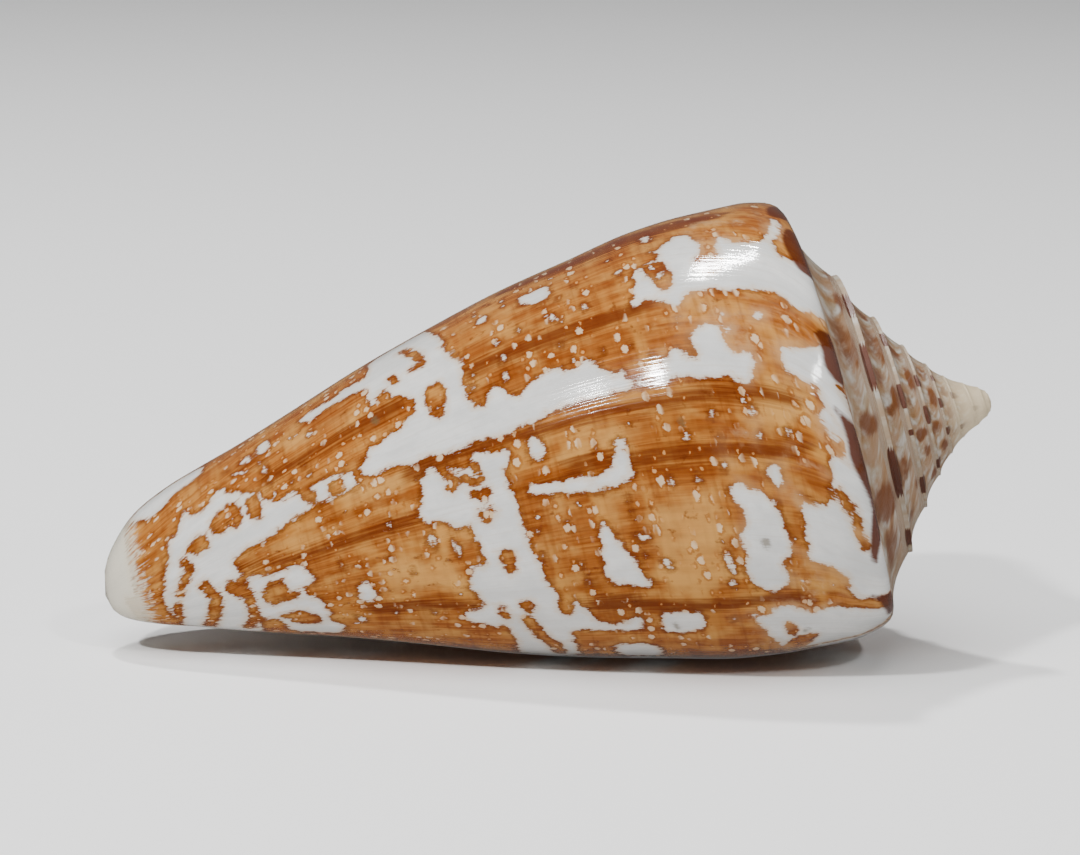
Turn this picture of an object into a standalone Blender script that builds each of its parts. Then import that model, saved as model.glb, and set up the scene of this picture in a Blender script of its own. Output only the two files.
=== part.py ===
"""A cone shell lying at rest on its aperture side, grown as one right-handed coil.

Lengths are in metres. The coil is worked out about its own axis, which runs from the anterior
end (x = 0) to the apex (x = LENGTH), and the finished shell is then laid down on z = 0.
A place on the coil is a turn, 0 at the outer lip and negative going back towards the apex,
and a depth, measured from the apex along the axis.
"""

import math

import bmesh
import bpy
from mathutils import Matrix, Vector

MM = 0.001

# Driving dimensions
LENGTH = 62.0 * MM
LIP_RADIUS = 18.4 * MM
TURN_RATIO = 1.45
LIP_SPREAD = 0.05
SPREAD_TURNS = 0.8
SPIRE_TURNS = 9

# Spire: the depth of the shoulder below the apex grows fast near the tip, then evenly, from a rounded tip
SPIRE_TIP_RISE = 3.6 * MM
SPIRE_TIP_REACH = 3.31 * MM
SPIRE_SLOPE = 0.49
SPIRE_TIP_BLUNT = 0.20 * MM
TIP_CAP_RADIUS = 1.3 * MM
TIP_CAP_BLEND = (0.6 * MM, 2.4 * MM)
RAMP_SAG = 0.11
SUTURE_STEP = 0.022

# Body whorl: share of the way from shoulder to anterior end, and radius as a share of the shoulder's
BODY_PROFILE = (
    (0.000, 1.000),
    (0.020, 1.040),
    (0.060, 1.066),
    (0.130, 1.063),
    (0.200, 1.042),
    (0.300, 0.967),
    (0.400, 0.886),
    (0.500, 0.785),
    (0.600, 0.668),
    (0.700, 0.545),
    (0.780, 0.453),
    (0.840, 0.387),
    (0.890, 0.327),
    (0.935, 0.266),
    (0.970, 0.190),
    (0.992, 0.105),
    (1.000, 0.000),
)
# How fast each part of the whorl widens beyond the shoulder, and for how long in turns
LATE_FLARE = (
    (0.00, 0.00),
    (0.06, -0.04),
    (0.20, -0.02),
    (0.40, 0.10),
    (0.50, 0.18),
    (0.60, 0.33),
    (0.70, 0.46),
    (0.78, 0.56),
    (0.84, 0.71),
    (0.90, 0.93),
    (0.94, 0.96),
    (1.00, 0.50),
)
FLARE_TURN = -0.575
FLARE_REACH = 0.40

# Outer lip: how far its edge draws back, in turns, at shares of the way down the whorl
LIP_RETREAT = (
    (0.00, 0.070),
    (0.05, 0.040),
    (0.10, 0.024),
    (0.20, 0.008),
    (0.35, 0.000),
    (0.60, 0.004),
    (0.75, 0.020),
    (0.85, 0.050),
    (0.95, 0.095),
    (1.00, 0.110),
)
RAMP_RETREAT = (0.080, 0.080, 0.045)
LIP_EDGE_WALL = 0.55 * MM
INNER_WALL = 1.15 * MM
WALL_GROWTH_TURNS = 0.12

# Hollow of the body whorl, seen through the aperture
HOLLOW_TURNS = 0.60
HOLLOW_PAST_LIP = 0.014
HOLLOW_ROOF = ((0.85, 1.3), (0.45, 1.3))
PARIETAL_CUT = 0.05 * MM
PARIETAL_CLEAR = 0.15 * MM
HOLLOW_END_SPREAD = 0.35

# Siphonal canal: the hollow runs out through the anterior end near the lip
CANAL_RADIUS = (1.3 * MM, 3.4 * MM)
CANAL_TURNS = 0.22
CANAL_PAST_END = 1.5 * MM

# How the shell lies: the clock angle of the lip seen from the apex, and the rise of the axis
LIP_CLOCK = math.radians(129.0)
AXIS_RISE = math.radians(12.9)
AXIS_SWING = math.radians(0.0)

# Mesh
COLUMNS = 64
FACE_COLUMNS = 3
BODY_SHARES = (
    0.992, 0.975, 0.945, 0.91, 0.87, 0.82, 0.76, 0.69, 0.61, 0.53,
    0.45, 0.37, 0.29, 0.22, 0.16, 0.10, 0.055, 0.020, 0.0,
)
RAMP_SHARES = (0.72, 0.36, 0.0)
HOLLOW_COLUMNS = 30
HOLLOW_SHARES = (0.92, 0.86, 0.79, 0.71, 0.62, 0.53, 0.44, 0.35, 0.26, 0.18, 0.11, 0.06)
MERGE = 0.00001


def curve_through(points, at):
    """A smooth curve through the points, with no overshoot between them."""
    if at <= points[0][0]:
        return points[0][1]
    slopes = [(b[1] - a[1]) / (b[0] - a[0]) for a, b in zip(points, points[1:])]
    for i, (a, b) in enumerate(zip(points, points[1:])):
        if at > b[0]:
            continue
        width = b[0] - a[0]
        ends = []
        for before, after in ((i - 1, i), (i, i + 1)):
            if before < 0 or after >= len(slopes):
                ends.append(slopes[i])
            elif slopes[before] * slopes[after] <= 0:
                ends.append(0.0)
            else:
                ends.append(2 * slopes[before] * slopes[after] / (slopes[before] + slopes[after]))
        t = (at - a[0]) / width
        level = a[1] * (1 + 2 * t) * (1 - t) ** 2 + b[1] * (3 - 2 * t) * t * t
        return level + width * (ends[0] * t * (1 - t) ** 2 - ends[1] * (1 - t) * t * t)
    return points[-1][1]


def smooth_step(low, high, at):
    t = min(1.0, max(0.0, (at - low) / (high - low)))
    return t * t * (3 - 2 * t)


def shoulder_radius(turn):
    spread = LIP_SPREAD * smooth_step(-SPREAD_TURNS, 0.0, turn)
    return LIP_RADIUS * TURN_RATIO**turn * (1 + spread) / (1 + LIP_SPREAD)


def shoulder_depth(turn):
    radius = shoulder_radius(turn)
    cone = SPIRE_TIP_RISE * (1 - math.exp(-radius / SPIRE_TIP_REACH)) + SPIRE_SLOPE * radius - SPIRE_TIP_BLUNT
    cap = radius * radius / (2 * TIP_CAP_RADIUS)
    return cap + (cone - cap) * smooth_step(*TIP_CAP_BLEND, radius)


def body_point(turn, share):
    """(depth, radius) on the body whorl, share 0 at the shoulder and 1 at the anterior end."""
    top = shoulder_depth(turn)
    flare = curve_through(LATE_FLARE, share) * FLARE_REACH * math.tanh((turn - FLARE_TURN) / FLARE_REACH)
    radius = shoulder_radius(turn) * curve_through(BODY_PROFILE, share) * (1 + flare)
    return top + (LENGTH - top) * share, radius


def ramp_point(turn, share):
    """(depth, radius) on the ramp above a shoulder, share 1 at the shoulder and 0 at the suture."""
    outer, inner = shoulder_radius(turn), shoulder_radius(turn - 1)
    low, high = shoulder_depth(turn), shoulder_depth(turn - 1)
    foot = high + SUTURE_STEP * outer
    chord = math.hypot(outer - inner, low - high)
    depth = foot + (low - foot) * share + RAMP_SAG * chord * 4 * share * (1 - share)
    return depth, inner + (outer - inner) * share + MERGE * (1 - share)


def meridian(turn):
    """(depth, radius, retreat) points from the anterior pole to the apex, at one turn of the body whorl."""
    points = [(LENGTH, 0.0, curve_through(LIP_RETREAT, 1.0))]
    for share in BODY_SHARES:
        points.append((*body_point(turn, share), curve_through(LIP_RETREAT, share)))
    for whorl in range(SPIRE_TURNS):
        for i, share in enumerate(RAMP_SHARES):
            retreat = RAMP_RETREAT[i] if whorl == 0 else 0.0
            points.append((*ramp_point(turn - whorl, share), retreat))
        inner = turn - whorl - 1
        points.append((shoulder_depth(inner), shoulder_radius(inner), 0.0))
    points.append((0.0, 0.0, 0.0))
    return points


def on_coil(depth, radius, turn):
    """A point about the coil's axis. Seen from the apex the shell grows clockwise."""
    clock = LIP_CLOCK + 2 * math.pi * turn
    return Vector((LENGTH - depth, radius * math.sin(clock), radius * math.cos(clock)))


def sheet(columns, rows):
    """A flat grid to be rolled up, as (bmesh, {(column, row): vertex})."""
    mesh = bmesh.new()
    bmesh.ops.create_grid(mesh, x_segments=columns, y_segments=rows, size=0.5)
    places = {}
    for vertex in mesh.verts:
        column = round((vertex.co.x + 0.5) * columns)
        row = round((vertex.co.y + 0.5) * rows)
        places[column, row] = vertex
    return mesh, places


def finish(mesh, name, collection):
    """Closes the seams of a rolled sheet and makes it an object."""
    bmesh.ops.remove_doubles(mesh, verts=mesh.verts, dist=MERGE)
    bmesh.ops.dissolve_degenerate(mesh, edges=mesh.edges, dist=MERGE)
    open_edges = [edge for edge in mesh.edges if edge.is_boundary]
    if open_edges:
        bmesh.ops.holes_fill(mesh, edges=open_edges, sides=0)
    bmesh.ops.triangulate(mesh, faces=mesh.faces)
    bmesh.ops.recalc_face_normals(mesh, faces=mesh.faces)
    if mesh.calc_volume(signed=True) < 0:
        bmesh.ops.reverse_faces(mesh, faces=mesh.faces)
    data = bpy.data.meshes.new(name)
    mesh.to_mesh(data)
    mesh.free()
    made = bpy.data.objects.new(name, data)
    collection.objects.link(made)
    return made


def outer_coil(collection):
    """The whole outside, closed across the aperture by a flat face in the lip's plane."""
    body_rows, ramp_rows = len(BODY_SHARES), len(RAMP_SHARES) + 1
    rows = body_rows + ramp_rows * SPIRE_TURNS + 1
    mesh, places = sheet(COLUMNS + FACE_COLUMNS, rows)
    lip, back = meridian(0.0), meridian(-1.0)
    for (column, row), vertex in places.items():
        if column <= COLUMNS:
            turn = -1.0 + column / COLUMNS
            retreat = meridian(turn)[row][2]
            turn -= retreat * column / COLUMNS
            depth, radius, _ = meridian(turn)[row]
            vertex.co = on_coil(depth, radius, turn)
            continue
        under = row if row <= body_rows else max(body_rows, row - ramp_rows)
        if row == rows:
            under = rows
        share = (column - COLUMNS) / FACE_COLUMNS
        edge_turn = -lip[row][2]
        depth, radius, _ = meridian(edge_turn)[row]
        edge = on_coil(depth, radius, edge_turn)
        vertex.co = edge.lerp(on_coil(back[under][0], back[under][1], -1.0), share)
    return finish(mesh, "shell", collection)


def hollow_section(turn):
    """The hollow's outline at one turn: up inside the outer wall, over the roof and down the inner wall."""
    thickening = smooth_step(0.0, WALL_GROWTH_TURNS, -turn)
    wall = LIP_EDGE_WALL + (INNER_WALL - LIP_EDGE_WALL) * thickening
    canal = 1 - smooth_step(0.0, CANAL_TURNS, -turn)
    parietal = PARIETAL_CLEAR if turn > 0 else -PARIETAL_CUT
    base_depth, base_radius = body_point(turn, HOLLOW_SHARES[0])
    end_depth = base_depth + (LENGTH + CANAL_PAST_END - base_depth) * canal
    outline = [(end_depth, max(CANAL_RADIUS[1] * canal, HOLLOW_END_SPREAD * base_radius))]
    for share in HOLLOW_SHARES:
        depth, radius = body_point(turn, share)
        outline.append((depth, radius - wall))
    for share, walls_below in HOLLOW_ROOF:
        depth, radius = ramp_point(turn, share)
        outline.append((depth + wall * walls_below, radius))
    for share in reversed(HOLLOW_SHARES):
        depth, radius = body_point(turn - 1, share)
        outline.append((depth, radius + parietal))
    outline.append((end_depth, CANAL_RADIUS[0]))
    return outline


def hollow(collection):
    """The cutter that opens the aperture and the siphonal canal and hollows the last whorl."""
    rows = len(hollow_section(0.0))
    mesh, places = sheet(HOLLOW_COLUMNS, rows)
    for (column, row), vertex in places.items():
        turn = HOLLOW_PAST_LIP - (HOLLOW_TURNS + HOLLOW_PAST_LIP) * column / HOLLOW_COLUMNS
        depth, radius = hollow_section(turn)[row % rows]
        vertex.co = on_coil(depth, radius, turn)
    return finish(mesh, "hollow", collection)


def enamel():
    material = bpy.data.materials.new("shell")
    material.use_nodes = True
    surface = material.node_tree.nodes["Principled BSDF"]
    surface.inputs["Base Color"].default_value = (0.62, 0.40, 0.22, 1.0)
    surface.inputs["Roughness"].default_value = 0.28
    surface.inputs["Metallic"].default_value = 0.0
    return material


def lay_down(shell):
    """Turns the shell to its resting pose, stands it on z = 0 and centres its box."""
    turn = Matrix.Rotation(AXIS_SWING, 4, "Z") @ Matrix.Rotation(-AXIS_RISE, 4, "Y")
    shell.data.transform(turn)
    corners = [vertex.co for vertex in shell.data.vertices]
    low = [min(co[i] for co in corners) for i in range(3)]
    high = [max(co[i] for co in corners) for i in range(3)]
    middle = Vector(((low[0] + high[0]) / 2, (low[1] + high[1]) / 2, low[2]))
    shell.data.transform(Matrix.Translation(-middle))


def collection_named(name, hidden=False):
    made = bpy.data.collections.new(name)
    bpy.context.scene.collection.children.link(made)
    made.hide_render = hidden
    return made


def main():
    for old in list(bpy.data.objects):
        bpy.data.objects.remove(old)
    parts = collection_named("cone_shell")
    cutters = collection_named("cutters", hidden=True)
    shell = outer_coil(parts)
    cutter = hollow(cutters)
    cutter.hide_render = True
    cutter.display_type = "WIRE"
    opening = shell.modifiers.new("aperture", "BOOLEAN")
    opening.object = cutter
    opening.operation = "DIFFERENCE"
    opening.solver = "EXACT"
    bpy.context.view_layer.update()
    graph = bpy.context.evaluated_depsgraph_get()
    cut = bpy.data.meshes.new_from_object(shell.evaluated_get(graph))
    shell.modifiers.clear()
    shell.data = cut
    lay_down(shell)
    shell.data.shade_smooth()
    shell.data.set_sharp_from_angle(angle=math.radians(38))
    shell.data.materials.clear()
    shell.data.materials.append(enamel())


main()
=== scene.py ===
"""Looks of the cone shell: one finely modelled coil with its enamel, markings and porcelain inside."""

import math
from types import SimpleNamespace

import bpy
import numpy as np
from mathutils import Matrix, Vector


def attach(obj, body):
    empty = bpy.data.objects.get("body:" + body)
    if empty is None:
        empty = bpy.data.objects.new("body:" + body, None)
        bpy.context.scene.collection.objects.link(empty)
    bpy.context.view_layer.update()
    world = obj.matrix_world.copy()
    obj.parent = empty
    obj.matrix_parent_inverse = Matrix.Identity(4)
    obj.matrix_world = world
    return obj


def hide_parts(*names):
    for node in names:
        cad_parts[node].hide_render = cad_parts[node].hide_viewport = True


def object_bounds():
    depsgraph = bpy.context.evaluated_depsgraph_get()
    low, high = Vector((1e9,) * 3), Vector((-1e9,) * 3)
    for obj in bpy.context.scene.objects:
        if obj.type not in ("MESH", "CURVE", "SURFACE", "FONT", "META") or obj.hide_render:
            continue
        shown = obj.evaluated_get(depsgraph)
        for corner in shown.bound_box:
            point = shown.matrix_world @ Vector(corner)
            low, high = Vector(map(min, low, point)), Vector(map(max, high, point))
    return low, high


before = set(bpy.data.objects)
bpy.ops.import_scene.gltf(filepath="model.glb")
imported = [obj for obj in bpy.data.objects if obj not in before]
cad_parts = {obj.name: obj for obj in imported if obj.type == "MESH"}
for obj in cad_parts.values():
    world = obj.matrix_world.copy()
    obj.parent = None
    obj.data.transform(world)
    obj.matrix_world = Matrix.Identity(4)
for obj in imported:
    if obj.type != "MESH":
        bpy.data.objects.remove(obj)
cad_low, cad_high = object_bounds()

MM = 0.001

# Driving dimensions of the coil, the same as the solid's
LENGTH = 62.0 * MM
LIP_RADIUS = 18.4 * MM
TURN_RATIO = 1.45
LIP_SPREAD = 0.05
SPREAD_TURNS = 0.8
SPIRE_TURNS = 9
SPIRE_TIP_RISE = 3.6 * MM
SPIRE_TIP_REACH = 3.31 * MM
SPIRE_SLOPE = 0.49
SPIRE_TIP_BLUNT = 0.20 * MM
TIP_CAP_RADIUS = 1.3 * MM
TIP_CAP_BLEND = (0.6 * MM, 2.4 * MM)
RAMP_SAG = 0.11
SUTURE_STEP = 0.022
BODY_PROFILE = (
    (0.000, 1.000), (0.020, 1.040), (0.060, 1.066), (0.130, 1.063), (0.200, 1.042), (0.300, 0.967),
    (0.400, 0.886), (0.500, 0.785), (0.600, 0.668), (0.700, 0.545), (0.780, 0.453), (0.840, 0.387),
    (0.890, 0.327), (0.935, 0.266), (0.970, 0.190), (0.992, 0.105), (1.000, 0.000),
)
LATE_FLARE = (
    (0.00, 0.00), (0.06, -0.04), (0.20, -0.02), (0.40, 0.10), (0.50, 0.18), (0.60, 0.33),
    (0.70, 0.46), (0.78, 0.56), (0.84, 0.71), (0.90, 0.93), (0.94, 0.96), (1.00, 0.50),
)
FLARE_TURN = -0.575
FLARE_REACH = 0.40
LIP_RETREAT = (
    (0.00, 0.070), (0.05, 0.040), (0.10, 0.024), (0.20, 0.008), (0.35, 0.000),
    (0.60, 0.004), (0.75, 0.020), (0.85, 0.050), (0.95, 0.095), (1.00, 0.110),
)
RAMP_RETREAT = ((0.0, 0.045), (0.36, 0.080), (0.72, 0.080), (1.0, 0.070))
LIP_CLOCK = math.radians(129.0)
AXIS_RISE = math.radians(12.9)

# Finer forms than the solid has
LIP_ROUNDING = 0.30 * MM
LIP_ROUNDING_MOST = 0.45
INNER_WALL = 1.15 * MM
WALL_GROWTH_TURNS = 0.12
HOLLOW_TURNS = 0.60
HOLLOW_PAST_LIP = 0.014
HOLLOW_BEND_TURNS = 0.0030
HOLLOW_BEND_LOOPS = 6
HOLLOW_AFTER_BEND = 0.0045
HOLLOW_SIDE = (0.93, 0.045)
HOLLOW_ROOF = (0.93, 0.8, 0.65, 0.5)
ROOF_WALLS = (1.3, 0.15)
PARIETAL_CUT = 0.05 * MM
PARIETAL_CLEAR = 0.15 * MM
CANAL_RADIUS = (1.3 * MM, 3.4 * MM)
CANAL_TURNS = 0.22
CANAL_PAST_END = 1.5 * MM
CANAL_ROOM = 0.35
MERGE = 0.000004
SMOOTH_ANGLE = math.radians(38)

# Mesh: most columns lie where the photographed side of the whorls is
SEEN_TURNS = (-0.84, -0.29)
SEEN_COLUMNS = 236
OTHER_COLUMNS = 92
RIM_COLUMNS = 6
FACE_COLUMNS = 3
BODY_ROWS = 164
RAMP_ROWS = 8
RISER_ROWS = 2
ROW_CROWDING = 0.055
COLUMN_STEP = 0.00005
HOLLOW_COLUMNS = 70
HOLLOW_ROWS = 34

# Easing of the last shoulder: passes, rows to each side, and the turns where it sets in and ends
SHOULDER_PASSES = 2
SHOULDER_ROWS = 3
SHOULDER_FROM = (-0.97, -0.86)
SHOULDER_UNTIL = (0.0, -0.03)


def curve_through(points, at):
    """A smooth curve through the points, with no overshoot between them."""
    x, y = np.array(points).T
    slopes = np.diff(y) / np.diff(x)
    ends = np.zeros(len(x))
    ends[0], ends[-1] = slopes[0], slopes[-1]
    same = slopes[:-1] * slopes[1:] > 0
    together = np.where(same, slopes[:-1] + slopes[1:], 1.0)
    ends[1:-1] = np.where(same, 2 * slopes[:-1] * slopes[1:] / together, 0.0)
    at = np.clip(at, x[0], x[-1])
    i = np.clip(np.searchsorted(x, at, side="right") - 1, 0, len(x) - 2)
    width = x[i + 1] - x[i]
    t = (at - x[i]) / width
    level = y[i] * (1 + 2 * t) * (1 - t) ** 2 + y[i + 1] * (3 - 2 * t) * t * t
    return level + width * (ends[i] * t * (1 - t) ** 2 - ends[i + 1] * (1 - t) * t * t)


def smooth_step(low, high, at):
    t = np.clip((at - low) / (high - low), 0.0, 1.0)
    return t * t * (3 - 2 * t)


def shoulder_radius(turn):
    spread = LIP_SPREAD * smooth_step(-SPREAD_TURNS, 0.0, turn)
    return LIP_RADIUS * TURN_RATIO**turn * (1 + spread) / (1 + LIP_SPREAD)


def shoulder_depth(turn):
    radius = shoulder_radius(turn)
    cone = SPIRE_TIP_RISE * (1 - np.exp(-radius / SPIRE_TIP_REACH)) + SPIRE_SLOPE * radius - SPIRE_TIP_BLUNT
    cap = radius * radius / (2 * TIP_CAP_RADIUS)
    return cap + (cone - cap) * smooth_step(*TIP_CAP_BLEND, radius)


def body_point(turn, share):
    """(depth, radius) on a whorl's side, share 0 at the shoulder and 1 at the anterior end."""
    top = shoulder_depth(turn)
    reach = FLARE_REACH * np.tanh((turn - FLARE_TURN) / FLARE_REACH)
    flare = curve_through(LATE_FLARE, share) * reach
    radius = shoulder_radius(turn) * curve_through(BODY_PROFILE, share) * (1 + flare)
    return top + (LENGTH - top) * share, radius


def ramp_point(turn, share):
    """(depth, radius) on the ramp above a shoulder, share 1 at the shoulder and 0 at the suture."""
    outer, inner = shoulder_radius(turn), shoulder_radius(turn - 1)
    low, high = shoulder_depth(turn), shoulder_depth(turn - 1)
    foot = high + SUTURE_STEP * outer
    chord = np.hypot(outer - inner, low - high)
    depth = foot + (low - foot) * share + RAMP_SAG * chord * 4 * share * (1 - share)
    return depth, inner + (outer - inner) * share


def riser_point(turn, share):
    """(depth, radius) on the low step above a suture, share 1 at the suture and 0 at the older shoulder."""
    foot, radius = ramp_point(turn, 0.0)
    high = shoulder_depth(turn - 1)
    return high + (foot - high) * share, radius + 0 * share


POINTS = {"body": body_point, "ramp": ramp_point, "riser": riser_point}


def on_coil(depth, radius, turn):
    """Places about the coil's axis. Seen from the apex the shell grows clockwise."""
    clock = LIP_CLOCK + 2 * math.pi * turn
    return np.stack([LENGTH - depth, radius * np.sin(clock), radius * np.cos(clock)], -1)


def rows_of_coil():
    """(kind, share, whorl) of each row of the outside, from the anterior pole to the apex."""
    rows = [("body", 1.0, 0)]
    for i in range(1, BODY_ROWS + 1):
        t = i / BODY_ROWS
        rows.append(("body", 1 - t - ROW_CROWDING * math.sin(2 * math.pi * t) / math.pi, 0))
    for whorl in range(SPIRE_TURNS):
        rows += [("ramp", 1 - i / RAMP_ROWS, whorl) for i in range(1, RAMP_ROWS + 1)]
        rows += [("riser", 1 - i / RISER_ROWS, whorl) for i in range(1, RISER_ROWS + 1)]
    return rows + [("apex", 0.0, SPIRE_TURNS)]


def turns_of_columns():
    """The turn of each column, the lip last."""
    first, last = SEEN_TURNS
    before = round(OTHER_COLUMNS * (1 + first) / (1 + first - last))
    early = np.linspace(-1, first, before + 1)[:-1]
    seen = np.linspace(first, last, SEEN_COLUMNS + 1)[:-1]
    return np.concatenate([early, seen, np.linspace(last, 0, OTHER_COLUMNS - before + 1)])


def pick(thing):
    """Makes one object the selected and active one."""
    bpy.ops.object.select_all(action="DESELECT")
    thing.select_set(True)
    bpy.context.view_layer.objects.active = thing


def rolled_grid(name, places):
    """A flat grid rolled up: places is an array of (column, row, xyz)."""
    columns, rows = places.shape[0] - 1, places.shape[1] - 1
    bpy.ops.object.select_all(action="DESELECT")
    bpy.ops.mesh.primitive_grid_add(x_subdivisions=columns, y_subdivisions=rows, size=1, calc_uvs=False)
    made = bpy.context.object
    made.name = name
    flat = np.zeros(len(made.data.vertices) * 3)
    made.data.vertices.foreach_get("co", flat)
    flat = flat.reshape(-1, 3)
    column = np.rint((flat[:, 0] + 0.5) * columns).astype(int)
    row = np.rint((flat[:, 1] + 0.5) * rows).astype(int)
    made.data.vertices.foreach_set("co", places[column, row].ravel())
    made.data.update()
    bpy.ops.object.mode_set(mode="EDIT")
    bpy.ops.mesh.select_all(action="SELECT")
    bpy.ops.mesh.remove_doubles(threshold=MERGE)
    bpy.ops.mesh.dissolve_degenerate(threshold=MERGE)
    bpy.ops.mesh.select_all(action="SELECT")
    bpy.ops.mesh.normals_make_consistent(inside=False)
    bpy.ops.object.mode_set(mode="OBJECT")
    return made


def points_on_rows(rows, turn):
    """(depth, radius) arrays for every row at each turn."""
    depth = np.zeros((len(turn), len(rows)))
    radius = np.zeros((len(turn), len(rows)))
    for j, (kind, share, whorl) in enumerate(rows):
        at = turn[:, j] - whorl
        if kind in POINTS:
            depth[:, j], radius[:, j] = POINTS[kind](at, share)
    return depth, radius


def retreat_of_rows(rows):
    """How far the lip draws back at each row, in turns."""
    drawn = []
    for kind, share, whorl in rows:
        if kind == "body":
            drawn.append(float(curve_through(LIP_RETREAT, share)))
        elif kind == "ramp" and whorl == 0:
            drawn.append(float(curve_through(RAMP_RETREAT, share)))
        elif kind == "riser" and whorl == 0:
            drawn.append(RAMP_RETREAT[0][1] * share)
        else:
            drawn.append(0.0)
    return np.array(drawn)


def round_the_shoulder(depth, radius, turn):
    """Eases the edge between the last whorl's side and its ramp, not where the next whorl covers it."""
    rows = np.arange(depth.shape[1])
    reach = np.clip(1 - np.abs(rows - BODY_ROWS) / SHOULDER_ROWS, 0, 1)[None, 1:-1]
    inner = turn[:, 1:-1]
    hold = smooth_step(*SHOULDER_FROM, inner) * smooth_step(*SHOULDER_UNTIL, inner) * reach
    for _ in range(SHOULDER_PASSES):
        for line in (depth, radius):
            line[:, 1:-1] += hold * 0.5 * ((line[:, :-2] + line[:, 2:]) / 2 - line[:, 1:-1])


def outer_coil():
    """The whole outside with a rounded lip, closed across the aperture by a face in the lip's plane."""
    rows = rows_of_coil()
    retreat = retreat_of_rows(rows)
    columns = turns_of_columns()
    turn = columns[:, None] - retreat[None, :] * (1 + columns[:, None])
    depth, radius = points_on_rows(rows, turn)
    # Rounds the last stretch before the lip's edge
    has_lip = np.array([kind == "body" or whorl == 0 and kind == "ramp" for kind, _, whorl in rows])
    bend = np.linspace(0, math.pi / 2, RIM_COLUMNS + 1)
    rounding = np.minimum(LIP_ROUNDING, LIP_ROUNDING_MOST * radius[-1])
    back_by = rounding / np.maximum(radius[-1], MM) / (2 * math.pi)
    rim_turn = -retreat[None, :] - back_by[None, :] * (1 - np.sin(bend))[:, None] * has_lip[None, :]
    rim_depth, rim_radius = points_on_rows(rows, rim_turn)
    rim_radius = rim_radius - rounding[None, :] * (1 - np.cos(bend))[:, None] * has_lip[None, :]
    keep = len(columns) - 1
    turn[:keep] = np.minimum(turn[:keep], rim_turn[0][None, :] - COLUMN_STEP)
    depth, radius = points_on_rows(rows, turn)
    round_the_shoulder(depth, radius, turn)
    outside = on_coil(depth[:keep], radius[:keep], turn[:keep])
    rim = on_coil(rim_depth, rim_radius, rim_turn)
    # The face runs from the rim to the same row of the older whorl, which starts the first column
    under = np.arange(len(rows))
    under = np.where(under <= BODY_ROWS, under, np.maximum(BODY_ROWS, under - RAMP_ROWS - RISER_ROWS))
    under[-1] = len(rows) - 1
    ends = outside[0][under]
    share = (np.arange(1, FACE_COLUMNS + 1) / FACE_COLUMNS)[:, None, None]
    face = rim[-1][None] * (1 - share) + ends[None] * share
    return rolled_grid("shell_enamel", np.concatenate([outside, rim, face]))


def hollow_loop(turn):
    """The hollow's outline at one turn: up inside the outer wall, over the roof and down the inner wall."""
    behind = max(0.0, -turn)
    behind_by = behind * 2 * math.pi * LIP_RADIUS
    crest = LIP_ROUNDING * math.sqrt(max(0.0, 1 - (1 - min(1.0, behind_by / LIP_ROUNDING)) ** 2))
    thickening = float(smooth_step(0.0, WALL_GROWTH_TURNS, behind))
    wall = LIP_ROUNDING + crest + (INNER_WALL - 2 * LIP_ROUNDING) * thickening
    canal = 1 - float(smooth_step(0.0, CANAL_TURNS, behind))
    parietal = PARIETAL_CLEAR if turn > 0 else -PARIETAL_CUT
    outer = np.linspace(*HOLLOW_SIDE, HOLLOW_ROWS)
    base_at = turn - float(curve_through(LIP_RETREAT, outer[0]))
    base_depth, base_radius = body_point(base_at, outer[0])
    end_depth = base_depth + (LENGTH + CANAL_PAST_END - base_depth) * canal
    end_radius = max(CANAL_RADIUS[1] * canal, CANAL_ROOM * base_radius)
    points = [(end_depth, end_radius, base_at)]
    points.append(((end_depth + base_depth) / 2, (end_radius + base_radius - wall) / 2, base_at))
    for share in outer:
        at = turn - float(curve_through(LIP_RETREAT, share))
        depth, radius = body_point(at, share)
        points.append((depth, radius - wall, at))
    for share in HOLLOW_ROOF:
        at = turn - LIP_RETREAT[0][1]
        depth, radius = ramp_point(at, share)
        points.append((depth + ROOF_WALLS[0] * wall, radius - ROOF_WALLS[1] * wall, at))
    for share in outer[::-1]:
        depth, radius = body_point(turn - 1, share)
        points.append((depth, radius + parietal, turn))
    points.append((end_depth, CANAL_RADIUS[0], turn))
    return np.array([on_coil(*point) for point in points])


def hollow():
    """The space behind the aperture, with the siphonal canal running out at the anterior end."""
    turns = [HOLLOW_PAST_LIP, 0.0]
    for i in range(1, HOLLOW_BEND_LOOPS + 1):
        turns.append(-HOLLOW_BEND_TURNS * (1 - math.cos(i * math.pi / (2 * HOLLOW_BEND_LOOPS))))
    turns += list(np.linspace(-HOLLOW_AFTER_BEND, -HOLLOW_TURNS, HOLLOW_COLUMNS - len(turns) + 1))
    loops = np.array([hollow_loop(turn) for turn in turns])
    made = rolled_grid("hollow", np.concatenate([loops, loops[:, :1]], axis=1))
    bpy.ops.object.mode_set(mode="EDIT")
    bpy.ops.mesh.select_all(action="SELECT")
    bpy.ops.mesh.fill_holes(sides=0)
    bpy.ops.mesh.select_all(action="SELECT")
    bpy.ops.mesh.quads_convert_to_tris()
    bpy.ops.mesh.normals_make_consistent(inside=False)
    bpy.ops.object.mode_set(mode="OBJECT")
    return made


def cut_coil():
    """The finished shell before it is laid down: enamel outside, porcelain where the hollow was."""
    shell = outer_coil()
    cutter = hollow()
    shell.data.materials.append(enamel())
    cutter.data.materials.append(porcelain())
    pick(shell)
    opening = shell.modifiers.new("aperture", "BOOLEAN")
    opening.object = cutter
    opening.operation = "DIFFERENCE"
    opening.solver = "EXACT"
    opening.material_mode = "TRANSFER"
    bpy.ops.object.modifier_apply(modifier=opening.name)
    bpy.data.objects.remove(cutter)
    return shell


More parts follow.
